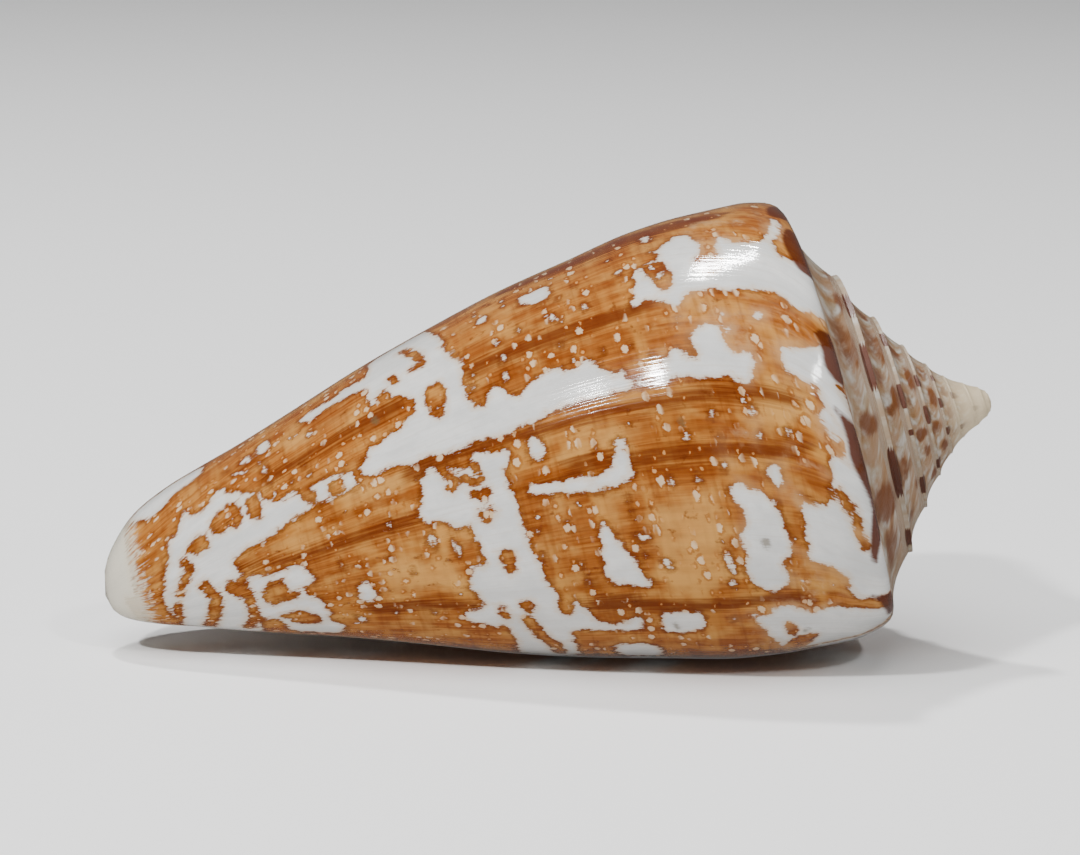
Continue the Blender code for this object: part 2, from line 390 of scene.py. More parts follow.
def places_of(mesh):
    flat = np.zeros(len(mesh.vertices) * 3)
    mesh.vertices.foreach_get("co", flat)
    return flat.reshape(-1, 3)


def lay_down(shell):
    """Turns the shell to its resting pose and sets it in the solid's box."""
    coil = places_of(shell.data)
    x = math.cos(AXIS_RISE) * coil[:, 0] - math.sin(AXIS_RISE) * coil[:, 2]
    z = math.sin(AXIS_RISE) * coil[:, 0] + math.cos(AXIS_RISE) * coil[:, 2]
    laid = np.stack([x, coil[:, 1], z], -1)
    low, high = laid.min(0), laid.max(0)
    middle = np.array([(low[0] + high[0]) / 2, (low[1] + high[1]) / 2, low[2]])
    room = np.array(cad_high) - np.array(cad_low)
    fit = min(1.0, float((room / (high - low)).min()))
    laid = (laid - middle) * fit
    laid += np.array([(cad_low[0] + cad_high[0]) / 2, (cad_low[1] + cad_high[1]) / 2, cad_low[2]])
    shell.data.vertices.foreach_set("co", laid.ravel())
    shell.data.update()
    return coil


# The lip's own column counts as turn 0, and a shoulder's edge as the whorl above it
SEAM_TURN = 0.0001
EDGE_SLACK = 0.002 * MM


def coil_readings(coil):
    """On the side or not, whorl, degrees behind the lip, share, radius in mm and turn, at each place."""
    depth = LENGTH - coil[:, 0]
    radius = np.hypot(coil[:, 1], coil[:, 2])
    clock = np.arctan2(coil[:, 1], coil[:, 2])
    turn = np.mod((clock - LIP_CLOCK) / (2 * math.pi) - SEAM_TURN, 1.0) - 1 + SEAM_TURN
    top = shoulder_depth(turn)
    side = depth > top
    share = np.clip((depth - top) / (LENGTH - top), 0, 1)
    whorl = np.zeros(len(turn))
    for older in range(1, SPIRE_TURNS):
        whorl[~side & (radius <= shoulder_radius(turn - older) + EDGE_SLACK)] = older
    outer, inner = shoulder_radius(turn - whorl), shoulder_radius(turn - whorl - 1)
    ramp = np.clip((radius - inner) / (outer - inner), 0, 1)
    share = np.where(side, share, ramp)
    return side, whorl, -360 * turn, share, radius / MM, turn - whorl


# Markings lie as the shell carries them. An outline lists its points one after another, each as percent
# of the way down the side and degrees behind the lip. Fields hold mm, positive inside a mark.
MM_PER_PERCENT = 0.52
MARK_REACH = 1.2
LEAN = 0.124
LEAN_DEGREES = 205.0
CREAM_FROM = 94.8
RAMP_PERCENT = 12.0
FLAME_PARTS = 60
FLAME_FOOT = 0.035
FLAME_FOOT_MM = (0.6, 0.2)
FLAME_LEAST = 0.1
BLOT_REACH = 1.6
TIP_MM = 3.2
TIP_FADE_MM = 1.8

WHITE_WINDOWS = (
    (37.3, 137, 34, 136, 32.3, 137, 32, 143, 33, 145.5, 35, 145.5, 37, 142),
    (33.8, 151, 32.3, 152, 31.2, 158, 33.5, 155.5),
    (19.6, 132, 17.8, 131.5, 17.5, 137, 18.5, 138, 19.5, 136),
    (15.8, 139, 13.8, 138.5, 12.5, 141, 11.5, 146, 11.2, 150, 12.8, 152, 12.6, 155.5, 11, 158, 9.7, 156,
     10.3, 151, 10, 146, 9.2, 144, 7.5, 147.5, 4.5, 151, 3.2, 147.5, 2.2, 141, 2.8, 138, 1, 139.5, 0.6, 146,
     1.6, 150, 2.5, 151.5, 1.5, 158, -2.5, 160.5, -2.5, 179, 2.3, 175, 3.5, 170.5, 5.6, 168, 7.4, 166.8,
     9.7, 166, 12.3, 163.8, 15, 163.5, 15.8, 166, 17, 167, 18.3, 163.5, 20.3, 161.5, 22, 163.2, 22.8, 161,
     21.8, 158, 21.5, 150, 21, 147.8, 20.2, 148.5, 19.5, 148, 17.5, 146.5, 18.3, 144),
    (7.5, 173, 5.5, 174, 6.5, 176.5, 7.5, 176),
    (5.5, 183, 3.6, 184, 1.6, 184.5, -2.5, 185, -2.5, 196, 1, 197, 3.5, 194, 5.6, 190),
)
WHITE_BAND = (
    59, 120, 50, 120, 49.3, 127, 48.2, 135, 47.2, 141, 46.9, 147, 46, 150.5, 44.6, 156, 45.6, 159.5,
    45.5, 170, 44.8, 173.5, 43.8, 174.5, 42.5, 168.5, 41.2, 170, 40, 174, 39, 175.5, 38, 173, 36.5, 172,
    34.5, 170.5, 33, 171.5, 31.8, 173.5, 30, 172, 28.5, 173, 27.5, 176, 26.5, 179, 25, 178.5, 24.5, 182,
    22.5, 183.5, 20.5, 183, 20, 180, 19.3, 177.5, 18.2, 176.5, 17.5, 177.5, 16, 181, 15.5, 180, 16.8, 175,
    15.8, 174.5, 14, 172.5, 12.3, 173, 11.5, 176, 11.3, 180, 10.2, 183, 9.2, 181, 8.3, 184, 8.5, 188,
    10, 192, 11.3, 191, 12.3, 188.5, 14, 188.5, 15.8, 188, 17, 186.5, 22, 185.5, 27, 185, 33, 184,
    36, 184.5, 38, 187, 39.5, 185.5, 41, 187.5, 44, 186.5, 46.5, 186, 48.5, 187.5, 50.5, 186.5, 53, 185,
    54.5, 187, 56, 185.5, 58, 184.5, 60, 185.5, 61.5, 183, 62.2, 179, 61.5, 178.3, 60, 172.5, 58.5, 172,
    57, 170.5, 55, 169.5, 54.5, 167.5, 53.2, 166.5, 53, 163, 53.8, 160, 55.5, 156.5, 57, 154, 58, 156,
    59, 155.5, 59.3, 150, 59.3, 146, 59.5, 144, 62, 143.5, 63.5, 142.5, 66, 143.5, 67.5, 145, 69.3, 141,
    68.8, 136, 66.5, 135, 64.5, 136.5, 63, 136, 62.8, 134, 60.5, 135, 59, 136, 58.8, 130,
)
WHITE_BASE = (
    (62, 187, 62.2, 179, 65, 177.5, 68, 176.5, 69, 179, 68.2, 185, 68.8, 187, 69.8, 181.5, 70.8, 177,
     71.8, 176, 72.8, 179, 74.5, 176, 75.3, 172, 75.5, 168.5, 77, 167.5, 78.5, 163.5, 79.8, 160.5,
     80.2, 157, 81.5, 155, 82.3, 159, 83, 163, 84.5, 165, 85.5, 163, 85.7, 158, 86.5, 158.5, 87, 163,
     87.7, 170, 88.3, 174, 89.3, 172, 89.7, 190, 90.8, 200, 91.2, 212, 92, 224, 91.8, 240, 90.8, 262,
     90.5, 285, 80, 285, 80, 270, 79.6, 258, 80.2, 240, 79.8, 215, 80.5, 209, 80.8, 205, 79, 200.5, 77, 199,
     75, 197, 74, 195, 72, 192, 70.5, 191, 69, 189.5, 66, 188, 64.5, 187.5),
    (95, 120, 88, 118, 83, 120, 82.8, 128, 83.2, 135, 85.5, 139, 87.5, 141, 88.5, 146, 90, 150, 91.5, 152,
     93.5, 142, 94.5, 138),
    (80, 215, 78.5, 214, 77, 216, 75, 214.5, 73, 213, 72, 214, 71.3, 218, 70.7, 222, 71, 227, 72.5, 229,
     72.3, 233.5, 70.5, 236, 70.5, 243, 70, 248, 70.8, 253, 69.8, 256, 68.7, 262, 70.5, 275, 76.8, 275,
     77.3, 257, 78.5, 253.5, 79.5, 258, 80, 245, 80.2, 230),
    (75.5, 140, 74.5, 136.5, 73.2, 138, 73, 147, 74.5, 148.5, 75.5, 146),
    (78, 142, 76.5, 141, 75.5, 147, 76.5, 149.5, 78, 147),
    (75.5, 152, 74.8, 150.5, 74, 156, 73.4, 162, 74.8, 162),
    (80.5, 146, 79.5, 145.5, 79.2, 151, 77.5, 156, 76, 153.5),
)
WHITE_COLUMN = (
    54.7, 190, 54.5, 196, 55.3, 201, 56, 205, 54.5, 208.5, 52.5, 209, 51.5, 212, 49.6, 213, 49, 220,
    49, 226, 50.8, 224.5, 51, 229, 51.5, 233, 52, 236, 51, 239, 50.5, 243, 51.3, 245, 53.3, 246.5,
    53.6, 251, 53, 255, 51, 255.5, 49.8, 258.5, 48.8, 255.5, 48.5, 258, 48, 266, 48.5, 276, 48.5, 285,
    40.2, 285, 40.2, 262, 39.7, 259, 36, 260, 33, 260.5, 31, 260.5, 30.6, 256, 31, 251, 31.8, 251.5,
    33, 254.5, 35, 255.5, 36.5, 253.5, 37, 249.5, 37.3, 247, 38, 242.5, 38.5, 241, 39.3, 246, 39.8, 249.5,
    40.7, 249, 40.8, 245, 40, 241, 40.8, 237, 41.3, 233, 41.5, 226, 42, 221, 42.2, 215, 42, 209, 42.5, 203,
    43, 197, 41.8, 196, 41.7, 191, 42.5, 189, 43.8, 190, 45, 188.5, 46.5, 187, 47.2, 190, 48, 193,
    49.5, 190, 51, 188.5, 53, 188, 54, 191,
)
WHITE_PATCHES = (
    (2.8, 190, 2, 196, 1.6, 201, 1, 206, 0.6, 212, 1, 219, -1.8, 219, -2.2, 208, -2, 200, -0.6, 194,
     0.5, 190),
    (41.3, 203, 39.8, 202.3, 37, 203.5, 34.5, 203, 32, 204.5, 30, 203.5, 29, 200, 29, 197, 28.3, 195.5,
     27, 196, 26.8, 200, 26.5, 207, 28, 209, 31.5, 210, 35, 209, 39, 207.5, 41, 206.5),
    (16.2, 196, 15, 193.5, 14.5, 196, 15.3, 199),
    (2.6, 201, 1.2, 200, 0, 203, 0.3, 212, 1.5, 209.5, 2.6, 206),
    (11.7, 213.5, 10, 211, 8.8, 211.5, 8.4, 216, 9.2, 219.5, 10.3, 217, 10.8, 214.5),
    (16, 215, 15, 213.5, 13, 215.5, 11, 219, 10, 221.5, 9.8, 228, 9.5, 234, 10, 238, 11.5, 238.5, 10.5, 244,
     11.8, 247.5, 13.5, 248.5, 15.3, 246.5, 16.3, 243.5, 16.8, 238, 15.8, 233, 16.4, 229, 15.5, 226,
     14.7, 224.5, 15.2, 221, 16, 218),
    (33.3, 219, 32.3, 217, 31.5, 219.5, 30.3, 227, 29.3, 231, 28.7, 237, 27.8, 239.5, 28.3, 241, 30, 241.5,
     31.5, 240, 33.5, 239, 34.3, 234, 33.8, 226),
    (29.5, 224, 28.3, 222, 26.8, 224.5, 27.3, 226.5, 28.5, 226),
    (26.7, 232, 25.8, 231, 24.8, 233.5, 25.2, 236.5, 26.3, 236),
    (19, 233, 17.8, 231, 17.2, 235, 17.5, 240, 18.5, 239),
    (7.9, 221, 7, 219.5, 6.2, 223, 4.5, 224.5, 3.5, 221.5, 2.8, 213, 1.5, 212, -1.5, 218, -2.5, 222,
     -2.5, 235, -1.5, 245, -2.5, 252, -1.5, 265, 1.2, 262, 2.8, 259.5, 4, 257, 4.7, 252, 4.2, 248,
     5.5, 244.5, 7.5, 241.5, 8.6, 239.5, 8.9, 236, 8, 231, 7.7, 226),
    (18, 254.5, 16.5, 254.5, 15.6, 256.5, 14.2, 253, 12.3, 253, 10.8, 255.5, 9.8, 258.5, 8.5, 258,
     6.8, 257.5, 4.8, 259.5, 3, 262.5, 1.8, 266, -1.5, 271, -1.5, 280, 3.5, 283, 15, 283, 15.3, 274,
     15.8, 270, 16.3, 265, 17, 259),
    (28.6, 251.5, 27.2, 250.5, 25.8, 251.5, 24.5, 250.8, 23, 252.5, 22.7, 256.5, 23.5, 260.5, 25.5, 262.5,
     27.5, 263, 29, 261, 29.2, 257),
    (20.2, 255, 19.5, 253.5, 19, 256, 19.8, 258.5),
    (36, 268, 33, 267.5, 31, 268.5, 29.8, 271, 29.5, 283, 36, 283),
)
WHITE_LOZENGES = (
    (55.3, 212, 54.3, 210.5, 53.7, 216, 54.5, 218.5, 55.3, 216),
    (52.4, 214.5, 51.7, 214, 51, 219, 51.3, 222.5, 52.2, 222),
    (60.2, 203, 59.2, 202.3, 58.6, 206.5, 59.8, 208), (67.4, 215.5, 66.8, 215, 66.2, 219.5, 67, 221.5),
    (66, 230, 65, 227.5, 63.7, 228, 63.5, 233, 63.2, 238, 64, 241.5, 66, 241.5, 66.3, 236),
    (67.5, 250, 66.5, 249, 65.8, 253, 66.2, 257.5, 67.3, 256),
    (39.8, 190.5, 38.5, 188, 37.3, 191, 36.8, 196, 38.5, 197.5, 39.7, 195),
    (37.2, 216, 36.5, 215, 36, 218.5, 36.7, 220.5),
)
# Round white spots: percent, degrees, radius in mm
WHITE_SPOTS = (
    (42, 140, 0.55), (15.3, 203, 0.3), (10.5, 198, 0.42), (10.3, 204, 0.34), (6.7, 205, 0.4),
    (19.4, 200, 0.34), (22.6, 210.5, 0.36), (19.3, 211.5, 0.3), (15.5, 209.5, 0.34), (18.5, 242.5, 0.36),
    (36.6, 230.5, 0.3), (36.2, 237, 0.3), (41, 217, 0.26), (41, 226, 0.26), (28.3, 155, 0.4),
    (29, 144, 0.26), (31.5, 147, 0.26), (24, 139, 0.26), (23, 147, 0.4), (18.5, 143, 0.22),
    (32.3, 165, 0.26), (31.2, 171, 0.28), (27.3, 172, 0.28), (23.5, 173, 0.24), (21.3, 178, 0.3),
    (16.8, 170, 0.3), (11.2, 171.5, 0.3), (10.8, 176.5, 0.34), (69, 166.5, 0.3), (68.5, 172.5, 0.26),
    (74, 169, 0.24), (73.5, 175, 0.24), (71, 173, 0.22), (40.2, 162, 0.4), (40.2, 168, 0.4),
    (44.7, 168, 0.3), (44.5, 163, 0.3), (40.5, 155, 0.3), (43, 135, 0.26), (39, 134, 0.26), (39, 138, 0.26),
    (37.5, 153, 0.3), (67.5, 152, 0.3), (31, 197, 0.26), (28, 199, 0.26), (28.5, 213, 0.26),
    (28.5, 217, 0.26), (28.3, 230, 0.26), (62, 248, 0.26), (57, 248, 0.26), (58, 226, 0.24),
    (60.5, 218, 0.22), (46.2, 262, 0.3), (44.2, 272, 0.26), (36.5, 205.5, 0.2),
)
BROWN_ISLANDS = (
    (19.8, 148, 17.8, 149, 16.7, 153, 16.9, 159, 17.4, 159.8, 18.3, 157, 19.3, 152),
    (12.9, 152, 11.5, 151.5, 10.2, 151.5, 10.8, 155.5, 11.3, 158.5, 12.2, 156),
    (51, 160, 49, 160, 48.8, 164, 49, 171, 50.2, 172.5, 51, 168),
    (57.5, 151.5, 56.2, 152, 55.8, 158, 57.5, 158),
    (77.5, 172, 76.3, 171.5, 75.8, 178, 76.2, 184.5, 77.3, 181),
    (82.8, 178, 82, 173.5, 80, 170.5, 79, 172, 78.7, 180, 79.6, 185, 80.5, 180, 81.5, 184, 82.7, 183),
    (86.8, 191, 85.9, 185.5, 84.2, 182, 83.8, 189, 85, 191), (65.8, 181, 64.5, 181, 64, 186, 66, 187),
    (94, 140, 92.7, 150, 92.8, 160, 91.5, 170, 90.3, 172, 90, 180, 90.2, 192, 91.3, 200, 91.5, 210,
     92.5, 222, 93.5, 225, 94.3, 215, 94.6, 200, 94, 185, 93.8, 170, 94.2, 160),
    (46.5, 223, 44.6, 222.8, 45.5, 232), (45.8, 243.8, 44.2, 243.2, 44.2, 246, 45, 247.5),
    (78, 229, 77, 224.5, 75.8, 222, 75.2, 224, 75, 229, 73.7, 232, 74.5, 235, 76, 234.5, 77.3, 238.5,
     78.2, 235),
    (77, 251, 76, 248.5, 73.5, 246, 73, 250, 72.2, 252, 72.3, 257, 74, 258.5, 75.5, 257, 76, 252),
    (79.5, 258, 78.5, 253.5, 77.3, 257, 77.3, 268, 78, 272, 79.5, 268),
    (13.3, 262, 12.6, 263, 12.3, 268, 13, 270),
    (13, 272, 10.5, 271, 9.8, 273, 11, 276, 12, 281, 14, 282, 14, 276),
)
# White eyes inside brown islands
ISLAND_EYES = ((17.8, 154, 0.42), (11.3, 154.5, 0.32), (50, 169, 0.26))
# Brown lines over white: half width in mm, then the line's points
BROWN_LINES = (
    (0.13, (53.6, 131, 52.3, 137, 51.3, 142, 50.9, 147.5, 52.4, 147)), (0.12, (55.5, 146, 55, 149)),
    (0.12, (47.5, 143, 46.5, 150, 45, 156)), (0.15, (51.2, 189, 50.9, 191.5, 49.6, 196, 50.3, 197.5)),
    (0.13, (48, 188.5, 47, 192, 46.7, 194)), (0.13, (48.2, 196, 47, 198.5, 46.3, 197.5)),
    (0.14, (47.5, 201, 46.7, 203.5, 46, 201.5)), (0.12, (47.3, 208, 46.8, 210.5, 46, 208.5)),
    (0.13, (49.6, 213, 49.3, 218, 48.8, 225)), (0.12, (48.2, 246, 47.9, 251)),
    (0.3, (45.3, 252, 44.8, 258, 44, 265, 43.2, 268, 43, 278)), (0.14, (2.5, 222, 1.3, 230, 0.8, 240)),
    (0.14, (87.4, 196, 86.9, 202, 88.3, 212, 89.2, 222)),
    (0.26, (85.5, 218, 84.5, 230, 85.5, 245, 86.5, 262, 87, 268)),
    (0.2, (80.5, 218, 80.2, 240, 80.8, 255, 82, 268)), (0.34, (82, 222, 81.2, 226, 80.5, 228)),
    (0.2, (96, 225, 95.7, 240, 95.5, 255)), (0.16, (92, 230, 92.4, 245, 93, 262)),
    (0.16, (90, 235, 90.4, 250, 91, 265)), (0.1, (62, 187.4, 56, 187.6, 50.5, 187.7)),
    (0.35, (8.6, 220, 8.9, 228, 8.9, 236)),
)
# Soft darker flows in the brown, the last of them a painted shade along the top of the side, and paler tan
# fields, as outlines with a soft edge
DARK_FLOWS_AND_TOP_SHADE = (
    (75, 163, 68, 161, 60, 159, 56, 157, 54, 161, 55.5, 164, 60, 163.5, 68, 164, 75, 168),
    (45.3, 159, 40, 159, 33, 159, 28, 160, 22, 162, 19, 163, 22, 165, 28, 164.5, 36, 163, 45, 163),
    (56, 185.5, 50, 186, 44, 186, 38, 187, 33, 187, 27, 188, 20, 189, 14, 190, 8, 193, 4, 197, 4, 199,
     9, 196, 16, 193, 26, 190.5, 36, 189.5, 45, 188, 50, 188.5, 56, 190),
    (36, 199, 33, 198.5, 29, 199.5, 30, 202, 34, 202),
    (27, 201, 20, 203, 14, 204.5, 9, 206.5, 4.5, 209, 4.5, 211, 9, 210, 14, 208, 20, 206, 27, 205),
    (37, 243, 33, 243, 29, 246, 24, 248, 18, 249, 12, 248.5, 9, 252, 9, 258, 10.5, 254, 13, 251.5,
     20, 251.5, 27, 250.5, 31, 249.5, 37, 249),
    (66, 243, 60, 241, 54, 240.5, 51.5, 242, 52, 244, 56, 243.5, 61, 245, 65, 247),
    (80, 208, 75, 209, 71, 209, 66, 206, 60, 204.5, 56, 204, 56, 206.5, 60, 208, 66, 209, 70, 211.5,
     75, 211, 80, 210),
    # Painted shade: a darker streaked strip along the top of the side, just below its top edge
    (20, 126, 10, 127, 6, 131, 12, 135, 22, 134, 40, 128, 40, 122),
)
PALE_FIELDS = (
    (27, 215, 18, 214, 17, 230, 18, 245, 27, 246), (64, 183, 56, 184, 56, 195, 64, 194),
    (35, 192, 24, 193, 24, 198, 35, 198), (12, 193, 3, 194, 3, 203, 12, 204),
    (70, 150, 62, 150, 62, 158, 70, 158), (9, 240, 4, 241, 3.5, 251, 8, 253),
    (62, 222, 52, 223, 52, 237, 62, 238),
)
PITS = ((13, 232, 0.3), (11, 268, 0.26), (27, 258.5, 0.24), (58.4, 163, 0.2), (19.5, 197, 0.2))
# Dark flames on the shoulder's edge, in percent below the edge (above it when negative) and degrees
SHOULDER_FLAMES = (
    (1.2, 126, 2.6, 131, 2.9, 137, 1.4, 139, -1, 138, -1, 128),
    (1, 143, 2.3, 149, 2.4, 155, 1.7, 162, 0.6, 164, -2, 163, -2, 149),
    (2.2, 180, 1.7, 186, 2, 191, 0.8, 196, -1.6, 196, -2, 183),
    (2.5, 200, 1.8, 204, 1.5, 209, 1.8, 215, 1.1, 221, 0.3, 229, 1.2, 236, 2.1, 244, 1.5, 248.5, 0.7, 243,
     -1.4, 236, -1.6, 221, -1, 209, 1, 204),
    (3.4, 257, 2, 263, 1.4, 270, 1, 278, -1, 280, -1.2, 267, 1.2, 262),
)
# Older whorls: whorl, then the flame's first and last degree and its reach up the ramp in sixtieths
SPIRE_FLAMES = (
    (1, 146, 162, 12), (1, 174, 195, 16), (1, 217, 240, 22), (1, 258, 275, 10), (2, 150, 162, 14),
    (2, 187, 202, 18), (2, 214, 218, 12), (2, 246, 262, 18), (3, 172, 184, 20), (3, 200, 216, 22),
    (3, 252, 266, 20), (4, 190, 204, 22), (4, 228, 240, 24), (4, 158, 168, 18), (5, 176, 190, 26),
    (5, 240, 252, 26), (6, 210, 226, 30),
)
# Ramp blots: whorl, percent up from the shoulder's edge, degrees, half sizes in both, strength of brown
RAMP_BLOTS = (
    (0, 95, 135, 8, 7, 0.9), (0, 94, 155, 10, 6, 1), (0, 70, 178, 34, 9, 0.55), (0, 96, 189, 6, 8, 0.9),
    (0, 72, 207, 22, 3.5, 0.9), (0, 50, 234, 44, 5, 0.8), (0, 70, 238, 22, 6, 0.9),
    (0, 60, 256, 30, 9, 0.55), (0, 40, 146, 20, 4, 0.3), (0, 97, 221, 5, 7, 0.8), (1, 66, 166, 40, 11, 0.5),
    (1, 40, 186, 24, 4, 0.75), (1, 86, 195, 9, 6, 1), (1, 62, 202, 24, 4, 0.5), (1, 52, 232, 30, 7, 0.55),
    (1, 94, 248, 7, 6, 0.9), (1, 60, 142, 26, 4, 0.7), (1, 40, 262, 20, 4, 0.5), (2, 40, 158, 30, 5, 0.8),
    (2, 82, 178, 12, 9, 1), (2, 66, 221, 26, 4, 0.95), (2, 76, 236, 14, 5, 0.6), (2, 84, 266, 10, 7, 0.9),
    (2, 44, 196, 30, 5, 0.35), (3, 60, 162, 30, 8, 0.5), (3, 78, 190, 16, 9, 1), (3, 50, 222, 36, 6, 0.6),
    (3, 78, 250, 14, 7, 0.9), (4, 70, 178, 22, 9, 0.7), (4, 66, 214, 20, 8, 0.8), (4, 60, 246, 26, 8, 0.5),
    (5, 70, 160, 24, 10, 0.6), (5, 60, 208, 24, 10, 0.8), (5, 60, 256, 24, 9, 0.6),
    (6, 60, 184, 26, 14, 0.5), (6, 60, 240, 24, 12, 0.5),
)


# How marks are measured: corners cut by this share, and spots squashed in percent and in degrees
CORNER_CUT = 0.22
SPOT_SQUASH = (1.15, 0.8)
PAD_PERCENT = 2.4
LEAST_DEGREE_MM = 0.04
PLACES_AT_ONCE = 3000
TINY = 1e-9


def paired(numbers):
    """Numbers in a row as points of two."""
    return np.array(numbers, float).reshape(-1, 2)


def rounded(outline):
    """The outline's points, with its corners cut once."""
    points = paired(outline)
    following = np.roll(points, -1, 0)
    kept = 1 - CORNER_CUT
    cut = [kept * points + CORNER_CUT * following, CORNER_CUT * points + kept * following]
    return np.stack(cut, 1).reshape(-1, 2)


def reach_of(points, across, along, degree_mm, closed):
    """Distance in mm from each place to a line through the points, negative outside a closed one."""
    starts, ends = (points, np.roll(points, -1, 0)) if closed else (points[:-1], points[1:])
    away = np.full(len(across), -MARK_REACH if closed else MARK_REACH)
    low, high = points.min(0), points.max(0)
    pad_along = MARK_REACH / np.maximum(degree_mm, LEAST_DEGREE_MM)
    near = (across > low[0] - PAD_PERCENT) & (across < high[0] + PAD_PERCENT)
    near &= (along > low[1] - pad_along) & (along < high[1] + pad_along)
    for some in np.array_split(np.flatnonzero(near), max(1, near.sum() // PLACES_AT_ONCE)):
        if len(some) == 0:
            continue
        p, q, k = across[some][:, None], along[some][:, None], degree_mm[some][:, None]
        ax, ay = (starts[:, 0] - p) * MM_PER_PERCENT, (starts[:, 1] - q) * k
        ex, ey = (ends[:, 0] - starts[:, 0]) * MM_PER_PERCENT, (ends[:, 1] - starts[:, 1]) * k
        along_edge = np.clip(-(ax * ex + ay * ey) / np.maximum(ex * ex + ey * ey, TINY), 0, 1)
        gap = np.sqrt(((ax + along_edge * ex) ** 2 + (ay + along_edge * ey) ** 2).min(1))
        gap = np.minimum(gap, MARK_REACH)
        if closed:
            y0, y1 = starts[:, 1], ends[:, 1]
            rise = np.where(y1 == y0, 1.0, y1 - y0)
            crossing = (y0 > q) != (y1 > q)
            right = p < (ends[:, 0] - starts[:, 0]) * (q - y0) / rise + starts[:, 0]
            inside = (crossing & right).sum(1) % 2 == 1
            gap = np.where(inside, gap, -gap)
        away[some] = gap
    return away


def spots_reach(spots, across, along, degree_mm):
    """How far inside the nearest of the round spots each place lies, in mm."""
    best = np.full(len(across), -MARK_REACH)
    for p, q, size in spots:
        gap = (across - p) * MM_PER_PERCENT * SPOT_SQUASH[0], (along - q) * degree_mm * SPOT_SQUASH[1]
        best = np.maximum(best, size - np.hypot(*gap))
    return best


def outlines_reach(outlines, across, along, degree_mm):
    """How far inside the nearest of the outlines each place lies, in mm."""
    best = np.full(len(across), -MARK_REACH)
    for outline in outlines:
        best = np.maximum(best, reach_of(rounded(outline), across, along, degree_mm, True))
    return best


# The degrees that the photograph shows, how far the pattern slides on the rest, in percent a degree,
# and how fast the slide dies out towards the anterior end
SEEN_FIRST = 118.0
SEEN_LAST = 283.0
SLIDE = 0.22
SLIDE_FADE = 6


def mirrored(along):
    """The far side carries the near side's pattern turned round."""
    turned = np.where(along > SEEN_LAST, 2 * SEEN_LAST - along, along)
    return np.where(along < SEEN_FIRST, 2 * SEEN_FIRST - along, turned)


def percent_down(side, share):
    """Percent of the way down the side, and below 0 up the ramp."""
    return np.where(side, 100 * share, -RAMP_PERCENT * (1 - share))


def side_markings(share, degrees, radius_mm):
    """White, dark and pale fields and the pits on the whorl's side."""
    along = mirrored(degrees)
    past = np.maximum(degrees - SEEN_LAST, 0) - np.maximum(SEEN_FIRST - degrees, 0)
    across = 100 * share - LEAN * radius_mm * np.cos(np.radians(along - LEAN_DEGREES))
    across += past * SLIDE * np.clip(SLIDE_FADE * (1 - share), 0, 1)
    place = across, along, radius_mm * math.pi / 180
    outlines = WHITE_WINDOWS + (WHITE_BAND,) + WHITE_BASE + (WHITE_COLUMN,) + WHITE_PATCHES + WHITE_LOZENGES
    white = np.maximum(outlines_reach(outlines, *place), spots_reach(WHITE_SPOTS, *place))
    white = np.maximum(white, (across - CREAM_FROM) * MM_PER_PERCENT)
    white = np.minimum(white, -outlines_reach(BROWN_ISLANDS, *place))
    for half_width, line in BROWN_LINES:
        white = np.minimum(white, reach_of(paired(line), *place, False) - half_width)
    white = np.maximum(white, spots_reach(ISLAND_EYES, *place))
    # The dark field holds the painted shade along the top of the side as well as the real dark flows
    dark, pale = outlines_reach(DARK_FLOWS_AND_TOP_SHADE, *place), outlines_reach(PALE_FIELDS, *place)
    return white, dark, pale, spots_reach(PITS, *place)


def ramp_field(whorl, share, degrees):
    """How brown each place on the ramps is, 0 to 1."""
    along = mirrored(degrees)
    up = 100 * (1 - share)
    brown = np.zeros(len(share))
    for blot_whorl, blot_up, blot_degrees, half_up, half_degrees, strength in RAMP_BLOTS:
        gap = np.hypot((up - blot_up) / half_up, (along - blot_degrees) / half_degrees)
        level = strength * np.clip(BLOT_REACH - gap, 0, 1) * (whorl == blot_whorl)
        brown = np.maximum(brown, level)
    return brown


def flame_field(side, whorl, share, degrees, radius_mm):
    """How far inside a dark flame each place at a shoulder's edge lies, in mm."""
    degree_mm = radius_mm * math.pi / 180
    along = mirrored(degrees)
    last = outlines_reach(SHOULDER_FLAMES, percent_down(side, share), along, degree_mm)
    best = np.where(side | (whorl == 0), last, -MARK_REACH)
    for flame_whorl, first, end, reach in SPIRE_FLAMES:
        middle, half = (first + end) / 2, (end - first) / 2
        round_end = np.clip(1 - ((along - middle) / half) ** 2, 0, 1)
        width_mm = (shoulder_width(flame_whorl) * reach / FLAME_PARTS) * np.sqrt(round_end)
        down_mm = (1 - share) * shoulder_width(flame_whorl)
        here = ~side & (whorl == flame_whorl)
        best = np.maximum(best, np.where(here & (round_end > 0), width_mm - down_mm, -MARK_REACH))
        foot = ~side & (whorl == flame_whorl - 1) & (share < FLAME_FOOT) & (round_end > FLAME_LEAST)
        best = np.where(foot, FLAME_FOOT_MM[0] * round_end - FLAME_FOOT_MM[1], best)
    return best


def shoulder_width(whorl):
    """Width of a ramp at half a turn behind the lip, in mm."""
    return float(shoulder_radius(-0.5 - whorl) - shoulder_radius(-1.5 - whorl)) / MM


